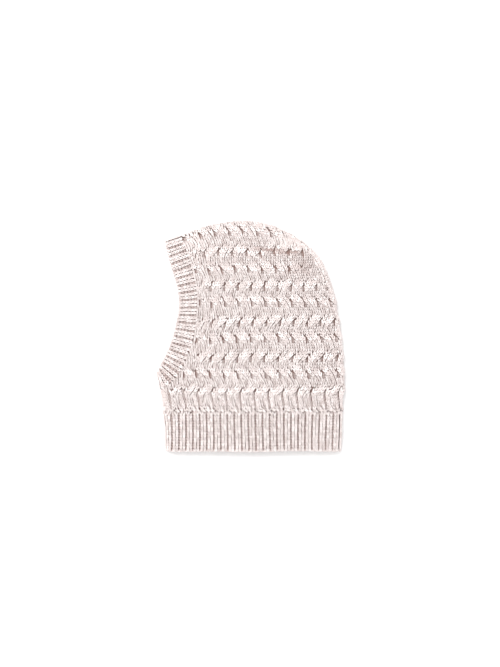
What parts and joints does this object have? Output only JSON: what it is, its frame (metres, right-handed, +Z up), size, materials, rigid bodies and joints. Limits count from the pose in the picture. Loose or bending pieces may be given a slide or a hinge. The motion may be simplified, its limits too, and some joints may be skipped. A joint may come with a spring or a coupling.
{
  "type": "knitted hood",
  "caption": "Small child's cable-knit hood lying flat on its side, with a ribbed band round the open face and a ribbed neck tube.",
  "frame": {"origin": "middle of the footprint, on the surface that the hood lies on", "axes": "+X from the face opening to the back of the head, +Y from the neck to the crown, +Z up from the surface through both layers"},
  "size_m": [0.1948, 0.24, 0.023],
  "materials": {
    "cable_knit": "soft wool-blend yarn in a wave-cable knit",
    "band_rib": "soft wool-blend yarn in a rib knit",
    "neck_rib": "soft wool-blend yarn in a rib knit"
  },
  "bodies": {
    "root": {"hood_body": "cable_knit", "face_band": "band_rib", "neck_rib": "neck_rib"}
  },
  "joints": []
}
